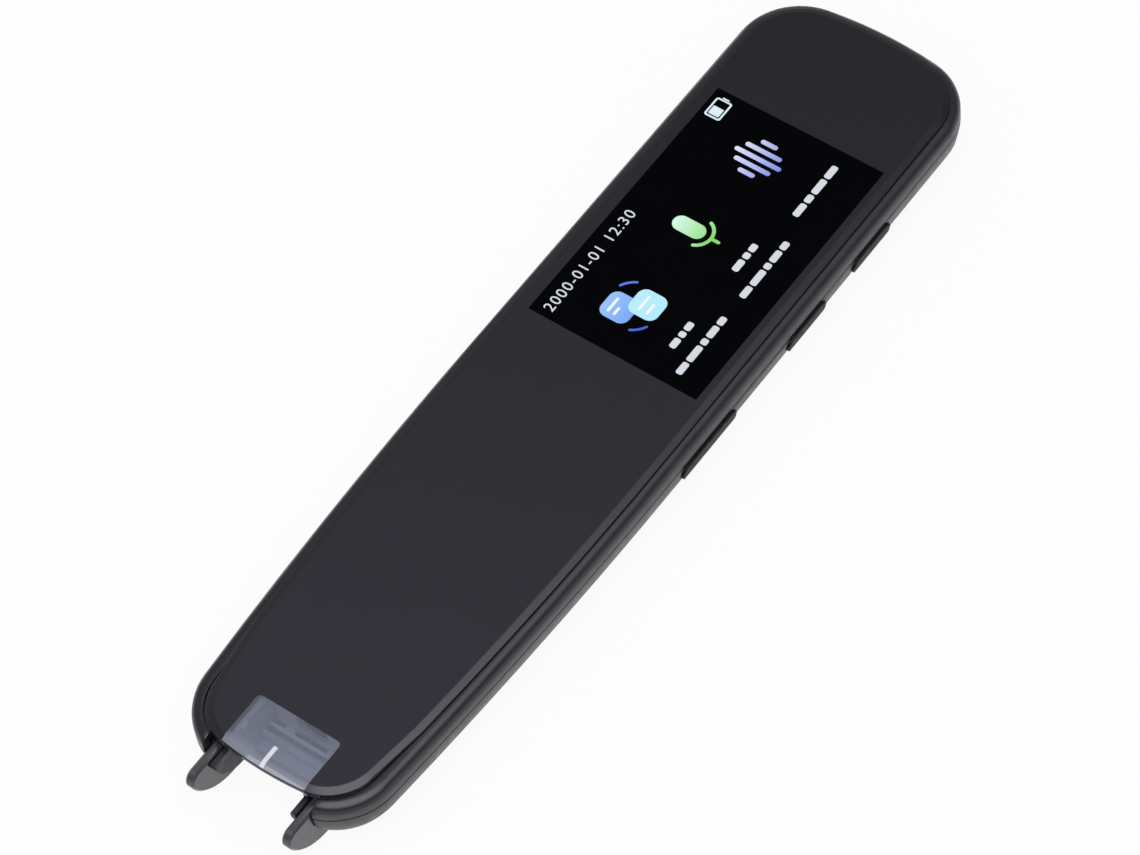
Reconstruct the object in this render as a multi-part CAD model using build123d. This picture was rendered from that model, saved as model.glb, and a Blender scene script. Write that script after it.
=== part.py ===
from build123d import *
from collections import namedtuple
from math import hypot, pi, sin, cos, sqrt
import os

os.makedirs("parts", exist_ok=True)

# A pen scanner that lies on its back: +X is the button side, +Y the tail, +Z the glass.
# The origin lies on the flat back, under the middle of the length.

# Overall form of the case, in plan
overall_thick = 11.2
body_half = 18.5
taper_start = 0.0
body_side_round = 880.0
tail_reach = 79.2
tail_crown = 68.0
tip_reach = 74.0
tip_crown = 60.0
body_corner = 10.3

# Section of the case
wall = 1.3
back_round = 6.8
back_steps = 5
edge_steps = 3
seam_drop = 2.4
rim_drop = 0.7
frame_round = 1.3
overrun = 2.0
running_gap = 0.3
fit_gap = 0.1
pin_gap = 0.03

# Cover glass, set inside the case's outline
glass_thick = 1.1
glass_edge_round = 1.0
glass_side_margin = 1.85
glass_end_margin = 1.8
glass_crown_margin = 2.0
glass_tail_corner_margin = 1.8
glass_tip_corner_margin = 2.3
glass_side_round = 740.0
glass_gap = 0.2
glue_thick = 0.15
glue_margin = 0.2
glue_width = 0.7

# Lip of the frame that drops inside the rear housing
lip_depth = 1.2
lip_thick = 0.8
snap_length = 5.0
snap_height = 0.5
snap_reach = 0.45
snap_tip_step = 6.0
snap_setback = 17.2
snap_count = 3

# Display stack
screen_margin = 3.75
screen_length = 47.4
screen_setback = 23.2
screen_side_border = 0.65
screen_tail_border = 1.6
screen_tip_border = 4.6
touch_thick = 0.3
panel_thick = 1.3
tray_thick = 1.2
tray_wall = 0.2
polariser_thick = 0.15
display_gap = 0.2

# Main board
board_thick = 0.8
board_top_drop = 5.0
board_margin = 5.3
board_tip_step = 2.0
board_setback = 3.0
board_waist_step = 5.0
board_waist_margin = 1.6

# Battery
battery_margin = 6.1
battery_setback = 32.0
battery_room = 5.8
battery_thick = 5.0
battery_round = 1.6
tape_thick = 0.25
tape_inset = 1.5
protector_margin = 2.9
protector_length = 2.6
protector_thick = 1.4
wire_thick = 0.7
wire_pitch = 1.2
lead_margin = 2.6
plug_length = 3.4
plug_width = 3.6
plug_thick = 0.95

# Screws and bosses
screw_thick = 1.6
screw_length = 5.0
screw_head_width = 2.8
screw_head_thick = 0.8
screw_floor = 1.0
boss_width = 4.2
seat_width = 4.2
tip_screw_margin = 6.8
tip_screw_setback = 18.0
small_screw_thick = 1.2
small_screw_length = 3.4
small_head_width = 2.3
small_head_thick = 0.6
post_width = 3.2
post_margin = 2.4
post_tip_step = 7.6
post_tail_step = 3.0

# Scanning tip: the fork's two prongs, and the chamber between them
prong_inner = 7.57
prong_thick = 1.48
prong_top = 8.5
prong_nose_radius = 8.15
prong_setback = 4.0
prong_corner = 1.7
prong_edge = 0.3
prong_heel_step = 1.7
fork_travel = 0.8
arm_top = 7.4
crossbar_step = 9.8
crossbar_thick = 1.5
crossbar_height = 1.8
nub_width = 1.1
tip_notch_step = 2.9
prong_side_gap = 0.25
chamber_wall = 0.8
chamber_rear_gap = 0.4
chamber_setback = 2.8
chamber_top_gap = 0.25
cheek_radius = 5.2
cheek_step = 1.0
cheek_top = 8.2
rib_height = 1.9
rib_thick = 0.6
rib_step = 3.8
wall_rib_width = 0.9
wall_rib_length = 2.6
wall_rib_step = 6.7
aperture_width = 5.4

# Scanning camera and its lamp
camera_z = 6.2
camera_board_gap = 1.6
camera_board_thick = 0.8
camera_board_step = 4.9
holder_width = 6.6
holder_height = 4.9
holder_length = 3.2
barrel_width = 4.2
barrel_length = 4.4
barrel_reach = 5.0
bore_width = 2.6
lens_thick = 0.7
sensor_width = 4.0
sensor_thick = 0.7
switch_width = 4.0
switch_height = 1.9
switch_length = 2.0
switch_bore = 1.5
dome_gap = 0.1
spring_strip = 0.2
spring_width = 3.0
spring_x = 5.4
led_board_thick = 0.5
led_height = 1.9
led_width = 1.6
led_thick = 0.6
led_x = 3.6
diffuser_thick = 0.6
flex_thick = 0.12
flex_round = 0.5

# Side buttons
button_travel = 0.4
button_proud = 0.35
button_height = 3.0
button_z = 5.6
short_button_length = 9.6
long_button_length = 13.2
button_gap = 0.15
upper_button_setback = 31.5
middle_button_setback = 48.1
lower_button_setback = 72.5
ear_length = 1.0
ear_height = 1.8
ear_thick = 0.7
ear_inset = 2.0
ear_lift = 0.4
side_switch_length = 4.2
side_switch_height = 2.4
side_switch_thick = 1.3
bracket_inset = 5.0
bracket_thick = 0.3
bracket_height = 3.0
bracket_margin = 3.0
stay_width = 1.2
stay_thick = 0.9

# Speaker, under the board at the tail
speaker_setback = 14.2
speaker_share = 0.865
speaker_length = 10.4
speaker_thick = 3.3
speaker_corner = 2.5
speaker_rim = 1.4
gasket_thick = 0.4
mesh_thick = 0.12
cone_thick = 0.25
cone_rise = 0.5
magnet_width = 9.0
magnet_length = 5.6
magnet_thick = 1.5
speaker_box_wall = 0.8
speaker_box_height = 1.6
grille_length = 9.0
grille_width = 0.9
grille_pitch = 2.0
grille_rows = 4
contact_width = 1.0
contact_length = 2.0

# Charging port and microphone at the tail
port_width = 8.94
port_height = 3.2
port_length = 6.6
port_wall = 0.3
port_inset = 2.0
port_gap = 0.15
tongue_width = 6.7
tongue_thick = 0.7
tongue_inset = 0.6
port_base = 1.0
mic_margin = 2.4
mic_width = 3.0
mic_length = 2.4
mic_thick = 1.0
mic_hole = 0.9
mic_setback = 6.6

# Chips, can and antenna on the board
can_width = 18.0
can_height = 1.7
can_wall = 0.2
can_setback = 35.2
processor_width = 11.0
memory_width = 7.5
memory_length = 5.0
chip_thick = 1.1
chip_gap = 0.8
passive_length = 1.6
passive_width = 0.8
passive_thick = 0.7
passive_pitch = 3.2
passive_count = 6
socket_length = 2.2
socket_thick = 0.95
antenna_width = 12.0
antenna_length = 4.6
antenna_height = 1.9
antenna_sheet = 0.2
antenna_setback = 8.7
antenna_x = -3.0
camera_socket_share = 0.409
display_socket_share = 0.788
touch_socket_share = 0.333
camera_socket_gap = 1.1
display_fold = 1.4
touch_fold = 2.1

# Outlines that follow from the sizes above: half widths, then places along the pen
screen_width = 2 * (body_half - screen_margin)
board_half = body_half - board_margin
board_waist_half = board_half - board_waist_margin
battery_half = body_half - battery_margin
protector_half = battery_half - protector_margin
lead_x = lead_margin - board_half
tip_screw_x = body_half - tip_screw_margin
camera_board_half = tip_screw_x - boss_width / 2 - camera_board_gap
post_x = board_half - post_margin
bracket_x = body_half - bracket_inset
mic_x = board_waist_half - mic_margin
screen_centre_y = tail_reach - screen_setback - screen_length / 2
prong_centre_y = prong_setback - tip_reach
prong_heel_y = prong_centre_y + prong_heel_step
crossbar_y = prong_centre_y + crossbar_step
tip_notch_y = prong_centre_y + tip_notch_step
chamber_rear_y = crossbar_y - chamber_rear_gap
chamber_front_y = chamber_setback - tip_reach
cheek_centre_y = prong_centre_y + cheek_step
rib_y = chamber_rear_y - rib_step
wall_rib_y = chamber_rear_y - wall_rib_step
camera_board_y = crossbar_y + camera_board_step
tip_screw_y = tip_screw_setback - tip_reach
upper_button_y = tail_reach - upper_button_setback
middle_button_y = tail_reach - middle_button_setback
lower_button_y = tail_reach - lower_button_setback
speaker_width = body_half * speaker_share
speaker_y = tail_reach - speaker_setback
port_mouth_y = tail_reach - port_inset
mic_back_y = tail_reach - mic_setback
can_y = tail_reach - can_setback
can_length = 2 * can_wall + 3 * chip_gap + processor_width + memory_length
antenna_y = tail_reach - antenna_setback
snap_tip_y = taper_start + snap_tip_step
snap_tail_y = tail_reach - snap_setback

# Flat cables side by side on the board, laid out from its button side
touch_flex_width = board_half * touch_socket_share - 2 * wire_thick
touch_flex_x = board_half - fit_gap - wire_thick - touch_flex_width / 2
display_flex_width = board_half * display_socket_share - 2 * wire_thick
display_flex_x = touch_flex_x - fit_gap - 2 * wire_thick - (touch_flex_width + display_flex_width) / 2
camera_flex_width = board_half * camera_socket_share - 2 * wire_thick
camera_flex_x = (display_flex_x - camera_socket_gap - 2 * wire_thick
                 - (display_flex_width + camera_flex_width) / 2)

# Heights that follow from the sizes above
z_seam = overall_thick - seam_drop
z_rim = overall_thick - rim_drop
z_glass = overall_thick - glass_thick
z_bed = z_glass - glue_thick
z_lip = z_seam - lip_depth
z_touch = z_glass - touch_thick
z_panel = z_touch - panel_thick
z_tray = z_panel - tray_thick
z_board = overall_thick - board_top_drop
z_under = z_board - board_thick
screen_half = screen_width / 2 + screen_side_border
screen_tail_y = screen_centre_y + screen_length / 2 + screen_tail_border
screen_tip_y = screen_centre_y - screen_length / 2 - screen_tip_border
board_tip_y = screen_tip_y + board_tip_step
board_tail_y = tail_reach - board_setback
board_waist_y = screen_tail_y + board_waist_step
post_tip_y = board_tip_y + post_tip_step
post_tail_y = board_waist_y - post_tail_step
battery_tip_y = battery_setback - tip_reach
battery_tail_y = board_tip_y - battery_room
prong_outer = prong_inner + prong_thick
notch_half = prong_outer + prong_side_gap
chamber_half = prong_inner - running_gap
chamber_inner = chamber_half - chamber_wall
chamber_top = z_glass - chamber_top_gap
fork_low = wall + 2 * running_gap
z_head = z_seam - lip_depth + screw_floor
boss_top = z_lip - fit_gap

Outline = namedtuple("Outline", "half taper side tail tail_crown tail_corner tip tip_crown tip_corner")

body = Outline(body_half, taper_start, body_side_round, tail_reach, tail_crown, body_corner,
               tip_reach, tip_crown, body_corner)
glass = Outline(body_half - glass_side_margin, taper_start, glass_side_round,
                tail_reach - glass_end_margin, tail_crown - glass_crown_margin,
                body_corner - glass_tail_corner_margin, tip_reach - glass_end_margin,
                tip_crown - glass_crown_margin, body_corner - glass_tip_corner_margin)


def grown(shape, amount):
    """The same outline, moved outward by an even amount."""
    return Outline(shape.half + amount, shape.taper, shape.side + amount, shape.tail + amount,
                   shape.tail_crown + amount, shape.tail_corner + amount, shape.tip + amount,
                   shape.tip_crown + amount, shape.tip_corner + amount)


def toward(centre, other, radius):
    """The point at a radius from a centre, in the direction of another point."""
    span = hypot(other[0] - centre[0], other[1] - centre[1])
    return (centre[0] + (other[0] - centre[0]) * radius / span,
            centre[1] + (other[1] - centre[1]) * radius / span)


def tip_corner_centre(shape):
    """Centre of the corner arc that touches the tip's crown and the tapering side."""
    crown = (0.0, shape.tip_crown - shape.tip)
    side = (shape.half - shape.side, shape.taper)
    near = shape.tip_crown - shape.tip_corner
    far = shape.side - shape.tip_corner
    span = hypot(crown[0] - side[0], crown[1] - side[1])
    along = (far ** 2 - near ** 2 + span ** 2) / (2 * span)
    across = sqrt(far ** 2 - along ** 2)
    step = ((crown[0] - side[0]) / span, (crown[1] - side[1]) / span)
    return (side[0] + along * step[0] + across * step[1], side[1] + along * step[1] - across * step[0])


def arc(start, end, centre, radius):
    """The shorter arc from start to end about a centre."""
    middle = ((start[0] + end[0]) / 2, (start[1] + end[1]) / 2)
    return ThreePointArc(start, toward(centre, middle, radius), end)


def plan(shape, z):
    """The closed outline as a face at a height: two crowns, four corners, two tapering sides."""
    tail_centre = (0.0, shape.tail - shape.tail_crown)
    reach = sqrt((shape.tail_crown - shape.tail_corner) ** 2 - (shape.half - shape.tail_corner) ** 2)
    corner = (shape.half - shape.tail_corner, tail_centre[1] + reach)
    tip_centre = (0.0, shape.tip_crown - shape.tip)
    nose = tip_corner_centre(shape)
    side_centre = (shape.half - shape.side, shape.taper)
    a = toward(tail_centre, corner, shape.tail_crown)
    b = (shape.half, corner[1])
    c = (shape.half, shape.taper)
    d = toward(side_centre, nose, shape.side)
    e = toward(tip_centre, nose, shape.tip_crown)
    right = [arc(a, b, corner, shape.tail_corner), Line(b, c), arc(c, d, side_centre, shape.side),
             arc(d, e, nose, shape.tip_corner)]
    left = [mirror(edge, Plane.YZ) for edge in reversed(right)]
    tip = arc(e, (-e[0], e[1]), tip_centre, shape.tip_crown)
    tail = arc((-a[0], a[1]), a, tail_centre, shape.tail_crown)
    edges = [part.edge() for part in right + [tip] + left + [tail]]
    return Pos(0, 0, z) * Face(Wire(edges))


def prism(shape, low, high):
    """A straight solid of the outline between two heights."""
    return extrude(plan(shape, low), amount=high - low, dir=(0, 0, 1))


def rolled(shape, far, near, roll, steps):
    """A solid of the outline, upright between two heights, then rolled inward in even flat turns."""
    way = 1 if near > far else -1
    sections = [plan(shape, far)]
    for step in range(steps + 1):
        turn = pi / 2 * step / steps
        sections.append(plan(grown(shape, -roll * (1 - cos(turn))), near + way * roll * sin(turn)))
    return loft(sections, ruled=True)


def slab(x0, x1, y0, y1, z0, z1):
    """A block between limits."""
    return Pos(x0, y0, z0) * Box(x1 - x0, y1 - y0, z1 - z0, align=(Align.MIN, Align.MIN, Align.MIN))


def block(x, y, width, length, z0, z1):
    """A plain block, centred in plan."""
    return slab(x - width / 2, x + width / 2, y - length / 2, y + length / 2, z0, z1)


def pad(x, y, width, length, z0, z1, corner):
    """A block with rounded upright edges, centred in plan."""
    return Pos(x, y, z0) * extrude(RectangleRounded(width, length, corner), amount=z1 - z0)


def rod(x, y, width, z0, z1):
    """An upright cylinder."""
    return Pos(x, y, z0) * Cylinder(width / 2, z1 - z0, align=(Align.CENTER, Align.CENTER, Align.MIN))


def rod_y(x, z, width, y0, y1):
    """A cylinder that lies along the pen."""
    bar = Cylinder(width / 2, y1 - y0, align=(Align.CENTER, Align.CENTER, Align.MIN))
    return Pos(x, y0, z) * Rot(-90, 0, 0) * bar


def rod_x(y, z, width, x0, x1):
    """A cylinder that lies across the pen."""
    bar = Cylinder(width / 2, x1 - x0, align=(Align.CENTER, Align.CENTER, Align.MIN))
    return Pos(x0, y, z) * Rot(0, 90, 0) * bar


def side_profile(points, x0, x1):
    """A closed outline in the side view, given as (y, z), thick from x0 to x1."""
    face = make_face(Polyline(*points, close=True))
    return Pos(x0, 0, 0) * extrude(Plane.YZ * face, amount=x1 - x0, dir=(1, 0, 0))


def mirrored(part):
    """A piece and its twin on the other side."""
    return part + mirror(part, Plane.YZ)


def case_screw_places():
    """Places of the screws that close the case beside the scanning camera."""
    return [(-tip_screw_x, tip_screw_y), (tip_screw_x, tip_screw_y)]


def board_screw_places():
    """Places of the screws that hold the main board."""
    return [(-post_x, post_tip_y), (post_x, post_tail_y)]


def snap_places():
    """Where the snaps lie along the case's straight sides."""
    return [snap_tip_y + (snap_tail_y - snap_tip_y) * i / (snap_count - 1) for i in range(snap_count)]


def snaps(gap):
    """Ridges that the lip snaps into the housing's walls with, widened by a gap for their pockets."""
    inner = body_half - wall - fit_gap - lip_thick
    outer = body_half - wall - fit_gap + snap_reach + gap
    middle = (z_lip + z_seam) / 2
    return mirrored(Part() + [slab(inner, outer, y - snap_length / 2 - gap, y + snap_length / 2 + gap,
                                   middle - snap_height / 2 - gap, middle + snap_height / 2 + gap)
                              for y in snap_places()])


def buttons():
    """Name, place and length of each side button."""
    return (("upper_button", upper_button_y, short_button_length),
            ("middle_button", middle_button_y, short_button_length),
            ("lower_button", lower_button_y, long_button_length))


def case_block():
    """The outer form of the case below the seam: upright sides rolled into a flat back."""
    return rolled(body, z_seam, back_round, back_round, back_steps)


def case_cavity():
    """The hollow of the rear housing: an even wall inside its outer form."""
    return rolled(grown(body, -wall), z_seam, back_round, back_round - wall, edge_steps)


def make_front_glass():
    """Cover glass with rolled upper edges."""
    return rolled(glass, z_glass, overall_thick - glass_edge_round, glass_edge_round, edge_steps)


def make_glass_adhesive():
    """Thin glue sheet under the glass, open over the display and across the clear tip window."""
    sheet = prism(grown(glass, -glue_margin), z_bed, z_glass)
    start = screen_tip_y - touch_fold - glue_width
    sheet -= slab(-screen_half - display_gap, screen_half + display_gap, start, screen_tail_y + display_gap,
                  z_bed - overrun, z_glass + overrun)
    gate = chamber_half + running_gap
    return sheet - slab(-gate, gate, -tip_reach, tip_screw_y, z_bed - overrun, z_glass + overrun)


def make_front_frame():
    """Upper case half: rolled rim, glass bed, openings for display and chamber, lip and screw seats."""
    frame = rolled(body, z_seam, z_rim - frame_round, frame_round, edge_steps)
    frame -= prism(grown(glass, glass_gap), z_bed, z_rim + overrun)
    lip = prism(grown(body, -wall - fit_gap), z_lip, z_seam)
    lip -= prism(grown(body, -wall - fit_gap - lip_thick), z_lip - overrun, z_seam)
    frame += lip + snaps(0)
    frame += Part() + [slab(x - seat_width / 2, x + seat_width / 2, y - seat_width / 2, y + seat_width / 2,
                            z_lip, z_seam) for x, y in case_screw_places()]
    frame -= slab(-screen_half - display_gap, screen_half + display_gap, screen_tip_y - display_gap,
                  screen_tail_y + display_gap, z_lip - overrun, z_rim + overrun)
    frame -= slab(display_flex_x - display_flex_width / 2 - display_gap,
                  touch_flex_x + touch_flex_width / 2 + display_gap,
                  screen_tip_y - touch_fold - flex_thick - display_gap, screen_tip_y, z_lip - overrun,
                  z_rim + overrun)
    gate = chamber_half + running_gap
    frame -= slab(-gate, gate, -tip_reach - overrun, chamber_rear_y + running_gap, z_lip - overrun,
                  z_rim + overrun)
    frame -= slab(-notch_half, notch_half, -tip_reach - overrun, prong_centre_y, z_lip - overrun,
                  z_rim + overrun)
    frame -= slab(-notch_half, notch_half, -tip_reach - overrun, tip_screw_y - seat_width, z_lip - overrun,
                  z_seam)
    for x, y in case_screw_places():
        frame -= rod(x, y, screw_head_width + 2 * fit_gap, z_head, z_rim + overrun)
        frame -= rod(x, y, screw_thick + 2 * fit_gap, z_lip - overrun, z_rim)
    return frame


def speaker_box():
    """Low wall that holds the speaker."""
    grow = 2 * (fit_gap + speaker_box_wall)
    top = wall + speaker_box_height
    outer = block(0, speaker_y, speaker_width + grow, speaker_length + grow, wall, top)
    return outer - block(0, speaker_y, speaker_width + 2 * fit_gap, speaker_length + 2 * fit_gap, wall,
                         top + overrun)


def bracket_limits():
    """Where the switch bracket starts and ends along the pen."""
    start = lower_button_y - long_button_length / 2 + bracket_margin
    end = upper_button_y + short_button_length / 2
    return start, end


def stay_places():
    """Where the housing's stays stand behind the switch bracket, beside each button."""
    half_gap = (upper_button_y - middle_button_y) / 2
    return [lower_button_y, middle_button_y - half_gap, middle_button_y + half_gap]


def housing_inside():
    """What stands up from the housing's floor."""
    bosses = [block(x, y, boss_width, boss_width, 0, boss_top) for x, y in case_screw_places()]
    posts = [block(x, y, post_width, post_width, 0, z_under) for x, y in board_screw_places()]
    stays = [slab(bracket_x - stay_thick, bracket_x, y - stay_width / 2, y + stay_width / 2, 0,
                  z_under - running_gap) for y in stay_places()]
    stops = [slab(-battery_half, battery_half, battery_tip_y - fit_gap - wall, battery_tip_y - fit_gap, 0,
                  wall + battery_thick / 2)]
    cradle_half = camera_board_half - wall
    rear = camera_board_y + camera_board_thick
    stops.append(slab(-cradle_half, cradle_half, rear, rear + wall, 0, wall + switch_height))
    return Part() + bosses + posts + stays + stops + [speaker_box()]


def speaker_grille():
    """A row of sound slots through the back."""
    places = [speaker_y + (row - (grille_rows - 1) / 2) * grille_pitch for row in range(grille_rows)]
    return Part() + [block(0, y, grille_length, grille_width, -overrun, wall + mesh_thick / 2)
                     for y in places]


def button_stadium(y, length, height, x0, x1):
    """A round-ended bar across the side wall."""
    shape = Plane.YZ * SlotOverall(length, height)
    return Pos(x0, y, button_z) * extrude(shape, amount=x1 - x0, dir=(1, 0, 0))


def port_stadium(width, height, y0, y1):
    """The charging port's round-ended outline, along the pen."""
    shape = Plane.XZ * SlotOverall(width, height)
    return Pos(0, y0, z_under - port_height / 2) * extrude(shape, amount=y1 - y0, dir=(0, 1, 0))


def make_rear_housing():
    """Lower case half: rolled shell with bosses, stays, speaker box, grille, port and button slots."""
    cavity = case_cavity()
    housing = case_block() - cavity
    housing += housing_inside() & cavity
    housing -= slab(-notch_half, notch_half, -tip_reach - overrun, tip_notch_y, -overrun, z_seam + overrun)
    housing -= speaker_grille() + snaps(fit_gap)
    for name, y, length in buttons():
        housing -= button_stadium(y, length + 2 * button_gap, button_height + 2 * button_gap,
                                  body_half - ear_inset - ear_thick, body_half + overrun)
    housing -= port_stadium(port_width + 2 * port_gap, port_height + 2 * port_gap,
                            port_mouth_y - port_length, tail_reach + overrun)
    housing -= rod_y(mic_x, z_under - mic_thick / 2, mic_hole, mic_back_y, tail_reach + overrun)
    for x, y in case_screw_places():
        housing -= rod(x, y, screw_thick + 2 * pin_gap, z_head - screw_length - pin_gap, z_seam)
    for x, y in board_screw_places():
        housing -= rod(x, y, small_screw_thick + 2 * pin_gap, z_board - small_screw_length - pin_gap,
                       z_seam)
    return housing


def prong_outline():
    """Side view of one prong and its arm: round nose below, flat top, arm to the crossbar."""
    nose_y = prong_centre_y - prong_nose_radius
    low = prong_top - prong_nose_radius
    slant = prong_nose_radius * sin(pi / 4)
    rear = crossbar_y + crossbar_thick
    rise = fork_low + crossbar_height
    round_nose = ThreePointArc((nose_y, prong_top), (prong_centre_y - slant, prong_top - slant),
                               (prong_centre_y, low))
    rest = Polyline((prong_centre_y, low), (prong_heel_y, low), (prong_heel_y, fork_low), (rear, fork_low),
                    (rear, rise), (crossbar_y, rise), (crossbar_y - prong_thick, arm_top),
                    (prong_heel_y, arm_top), (prong_heel_y - prong_thick, prong_top), (nose_y, prong_top))
    outline = make_face([round_nose, rest])
    return Plane.YZ * fillet(outline.vertices().sort_by(Axis.X)[0], prong_corner)


def make_scan_fork():
    """The press-to-scan fork: two prongs, their arms, the crossbar and the switch nub."""
    arm = Pos(prong_inner, 0, 0) * extrude(prong_outline(), amount=prong_thick, dir=(1, 0, 0))
    rims = arm.edges().filter_by(GeomType.CIRCLE) + arm.edges().filter_by(Axis.Y)
    arm = chamfer([rim for rim in rims if rim.center().Y < prong_heel_y], prong_edge)
    fork = mirrored(arm)
    fork += slab(-prong_inner, prong_inner, crossbar_y, crossbar_y + crossbar_thick, fork_low,
                 fork_low + crossbar_height)
    nub_z = fork_low + crossbar_height / 2
    nub_tip = switch_front() + switch_length / 2 - fork_travel - dome_gap
    return fork + slab(-nub_width / 2, nub_width / 2, crossbar_y + crossbar_thick / 2, nub_tip,
                       nub_z - nub_width / 2, nub_z + nub_width / 2)


def switch_front():
    """Front face of the trigger switch."""
    return camera_board_y - switch_length


def make_trigger_switch():
    """Small push switch with an open bore for the fork's nub."""
    z = fork_low + crossbar_height / 2
    switch = slab(-switch_width / 2, switch_width / 2, switch_front(), camera_board_y,
                  z - switch_height / 2, z + switch_height / 2)
    return switch - slab(-switch_bore / 2, switch_bore / 2, switch_front() - overrun,
                         switch_front() + switch_length / 2, z - switch_bore / 2, z + switch_bore / 2)


def make_fork_spring():
    """Bent leaf that pushes the fork forward: two arms from a foot on the camera board."""
    front = crossbar_y + crossbar_thick
    z0 = fork_low
    z1 = fork_low + crossbar_height
    foot = spring_x - spring_width / 2
    lean = (camera_board_y - front) / 2
    arm = make_face(Polyline((foot, camera_board_y, z0), (foot + spring_strip, camera_board_y, z0),
                             (spring_x + spring_strip, front + lean, z0), (foot + spring_strip, front, z0),
                             (foot, front, z0), (spring_x, front + lean, z0), close=True))
    leaf = extrude(arm, amount=z1 - z0, dir=(0, 0, 1))
    return mirrored(leaf)


def make_scan_chamber():
    """Light-tight box behind the glass window, open at the front and above."""
    rear = chamber_rear_y
    box = slab(-chamber_half, chamber_half, tip_notch_y + chamber_wall, rear, wall, wall + chamber_wall)
    side = slab(chamber_inner, chamber_half, chamber_front_y, rear, wall + running_gap, chamber_top)
    low_front = slab(chamber_inner, chamber_half, chamber_front_y - overrun, tip_notch_y, wall - overrun,
                     cheek_top - cheek_radius)
    cheek = rod_x(cheek_centre_y, cheek_top - running_gap, 2 * cheek_radius, chamber_inner, chamber_half)
    cheek &= slab(chamber_inner, chamber_half, cheek_centre_y - 2 * cheek_radius, rear, wall, cheek_top)
    front = chamber_front_y - overrun
    cheek_low = cheek_top - cheek_radius
    lean = side_profile([(front, wall), (tip_notch_y, wall), (cheek_centre_y, cheek_low), (front, cheek_low)],
                        chamber_inner, chamber_half)
    side = side - low_front - lean
    rib = slab(chamber_inner - running_gap, chamber_inner, wall_rib_y - wall_rib_width / 2,
               wall_rib_y + wall_rib_width / 2, chamber_top - wall_rib_length, chamber_top)
    box += mirrored(side + cheek + rib)
    back = slab(-chamber_half, chamber_half, rear - chamber_wall, rear, wall, chamber_top)
    box += back - rod_y(0, camera_z, aperture_width, rear - overrun, rear + overrun)
    box += slab(-chamber_inner, chamber_inner, rib_y - rib_thick / 2, rib_y + rib_thick / 2,
                wall + chamber_wall, wall + chamber_wall + rib_height)
    return box


def lamp_y():
    """Front face of the lamp board."""
    return chamber_rear_y - chamber_wall - led_board_thick


def make_led_board():
    """Strip board on the chamber's rear wall."""
    low = wall + chamber_wall
    return slab(-chamber_inner, chamber_inner, lamp_y(), lamp_y() + led_board_thick, low, low + led_height)


def make_scan_leds():
    """Two lamps that light the page."""
    mid = wall + chamber_wall + led_height / 2
    lamp = slab(led_x - led_width / 2, led_x + led_width / 2, lamp_y() - led_thick, lamp_y(),
                mid - led_width / 3, mid + led_width / 3)
    return mirrored(lamp)


def make_light_diffuser():
    """Frosted bar in front of the lamps."""
    back = lamp_y() - led_thick
    low = wall + chamber_wall
    bar = slab(-chamber_inner, chamber_inner, back - diffuser_thick, back, low, low + led_height)
    return chamfer(bar.edges().filter_by(Axis.X).group_by(Axis.Z)[-1], diffuser_thick / 4)


def make_camera_board():
    """Upright board that carries the camera and the trigger switch."""
    top = z_seam - running_gap
    return slab(-camera_board_half, camera_board_half, camera_board_y, camera_board_y + camera_board_thick,
                wall, top)


def make_image_sensor():
    """Sensor chip behind the lens."""
    half = sensor_width / 2
    front = camera_board_y - sensor_thick
    return slab(-half, half, front, camera_board_y, camera_z - half, camera_z + half)


def make_lens_holder():
    """Square holder over the sensor, bored for the barrel."""
    half = holder_width / 2
    holder = slab(-half, half, camera_board_y - holder_length, camera_board_y,
                  camera_z - holder_height / 2, camera_z + holder_height / 2)
    room = sensor_width / 2 + pin_gap
    holder -= slab(-room, room, camera_board_y - sensor_thick - pin_gap, camera_board_y + overrun,
                   camera_z - room, camera_z + room)
    return holder - rod_y(0, camera_z, barrel_width + 2 * pin_gap, camera_board_y - holder_length - overrun,
                          camera_board_y - sensor_thick)


def make_lens_barrel():
    """Barrel that holds the lens."""
    front = camera_board_y - barrel_reach
    barrel = rod_y(0, camera_z, barrel_width, front, front + barrel_length - sensor_thick)
    return barrel - rod_y(0, camera_z, bore_width, front - overrun, front + barrel_length + overrun)


def make_camera_lens():
    """Front lens, bulging toward the page, seated in the barrel."""
    front = camera_board_y - barrel_reach + lens_thick / 2
    lens = rod_y(0, camera_z, bore_width - 2 * pin_gap, front, front + lens_thick)
    return lens & (Pos(0, front + bore_width, camera_z) * Sphere(bore_width))


def ribbon(points, x, width):
    """A flat cable along points of the side view, given as (y, z), with even thickness and bends."""
    path = FilletPolyline(*[(0, y, z) for y, z in points], radius=flex_round)
    profile = Plane(origin=path @ 0, x_dir=(1, 0, 0), z_dir=path % 0) * Rectangle(width, flex_thick)
    return Pos(x, 0, 0) * sweep(profile, path=path)


def make_camera_flex():
    """Flat cable from the camera board over the battery to the main board."""
    run = z_board + socket_thick / 2 + flex_thick
    back = camera_board_y + camera_board_thick + flex_thick / 2
    points = [(back, wall + battery_thick / 2), (back, run), (board_tip_y + socket_length, run)]
    return ribbon(points, camera_flex_x, camera_flex_width)


def socket(x, width, y):
    """A flat cable socket on the board."""
    return slab(x - width / 2 - wire_thick, x + width / 2 + wire_thick, y, y + socket_length, z_board,
                z_board + socket_thick)


def make_board_sockets():
    """Sockets for the camera, display and touch cables."""
    y = board_tip_y + socket_length
    places = ((camera_flex_x, camera_flex_width), (display_flex_x, display_flex_width),
              (touch_flex_x, touch_flex_width))
    return Part() + [socket(x, width, y) for x, width in places]


def panel_flex(z, x, width, fold):
    """A flat cable that leaves the display stack, folds under it and enters its socket."""
    low = z_board + socket_thick / 2
    y = screen_tip_y
    points = [(y, z), (y - fold, z), (y - fold, low), (board_tip_y + socket_length, low)]
    return ribbon(points, x, width)


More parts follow.
